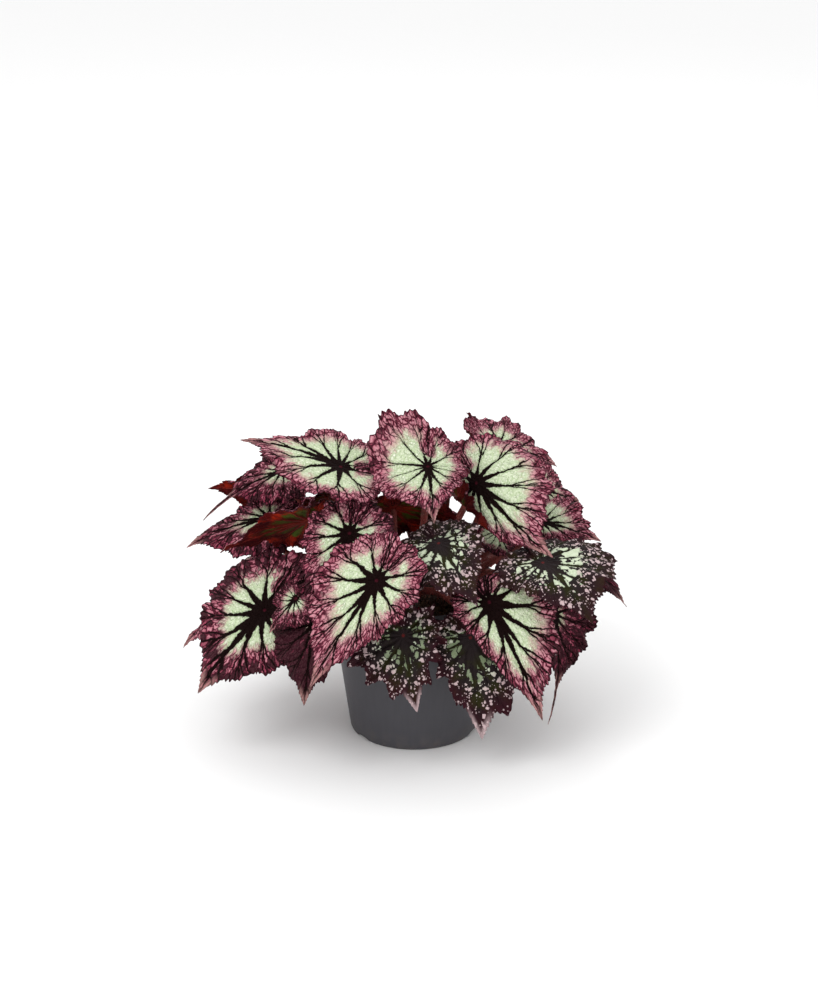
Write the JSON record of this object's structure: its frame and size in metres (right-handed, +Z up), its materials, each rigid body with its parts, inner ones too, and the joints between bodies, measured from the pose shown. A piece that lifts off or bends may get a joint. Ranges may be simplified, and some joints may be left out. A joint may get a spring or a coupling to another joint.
{
  "type": "potted rex begonia",
  "caption": "Rex begonia with silver-centred, rosy-edged leaves on red stalks, growing over the rim of a tapered dark grey nursery pot.",
  "frame": {"origin": "middle of the pot's flat underside, where it stands", "axes": "+Z up along the pot's axis; -Y towards the front, the side seen in the picture; +X to the right seen from the front"},
  "size_m": [0.3036, 0.2567, 0.2366],
  "materials": {
    "pot_plastic": "moulded dark grey plastic, slightly satin",
    "potting_soil": "moist peat and bark with a little perlite",
    "stalk": "hairy red leaf stalks on a knobbly brown rhizome",
    "painted_leaf": "pale silver green centre, rosy purple margin, near-black veins, puckered satin surface",
    "dark_leaf": "charcoal ground with broken silver patches and pink speckles, puckered satin surface"
  },
  "bodies": {
    "root": {"pot": "pot_plastic", "soil": "potting_soil", "rhizome_and_stalks": "stalk", "leaf_01_top_left": "painted_leaf", "leaf_02_top_centre": "painted_leaf", "leaf_03_top_right": "painted_leaf", "leaf_04_back_right": "painted_leaf", "leaf_05_right_upper": "painted_leaf", "leaf_06_right_middle": "painted_leaf", "leaf_07_centre_dark": "dark_leaf", "leaf_08_right_dark": "dark_leaf", "leaf_09_front_right": "painted_leaf", "leaf_10_low_right_dark": "dark_leaf", "leaf_11_low_centre_dark": "dark_leaf", "leaf_12_front_left": "painted_leaf", "leaf_13_middle_left": "painted_leaf", "leaf_14_left_large": "painted_leaf", "leaf_15_low_left": "painted_leaf", "leaf_16_left_small": "painted_leaf", "leaf_17_left_far": "painted_leaf", "leaf_18_left_upper": "painted_leaf", "leaf_19_left_curled": "painted_leaf", "leaf_20_left_back": "painted_leaf", "leaf_21_left_inner": "painted_leaf", "leaf_22_centre_inner": "painted_leaf", "leaf_23_right_low_back": "painted_leaf", "leaf_24_right_low": "painted_leaf", "leaf_25_back_top": "painted_leaf", "leaf_26_back_left_high": "painted_leaf", "leaf_27_back_middle": "painted_leaf", "leaf_28_back_right_high": "painted_leaf", "leaf_29_back_low_left": "painted_leaf", "leaf_30_back_low": "painted_leaf", "leaf_31_back_low_right": "painted_leaf", "leaf_32_right_lowest": "painted_leaf", "leaf_33_left_lowest": "painted_leaf", "leaf_34_back_top_right": "painted_leaf", "leaf_35_back_top_left": "painted_leaf", "leaf_36_right_back": "painted_leaf", "leaf_37_back_centre": "painted_leaf", "leaf_38_left_back_low": "painted_leaf", "leaf_39_centre_young": "painted_leaf", "leaf_40_left_centre": "painted_leaf"}
  },
  "joints": []
}
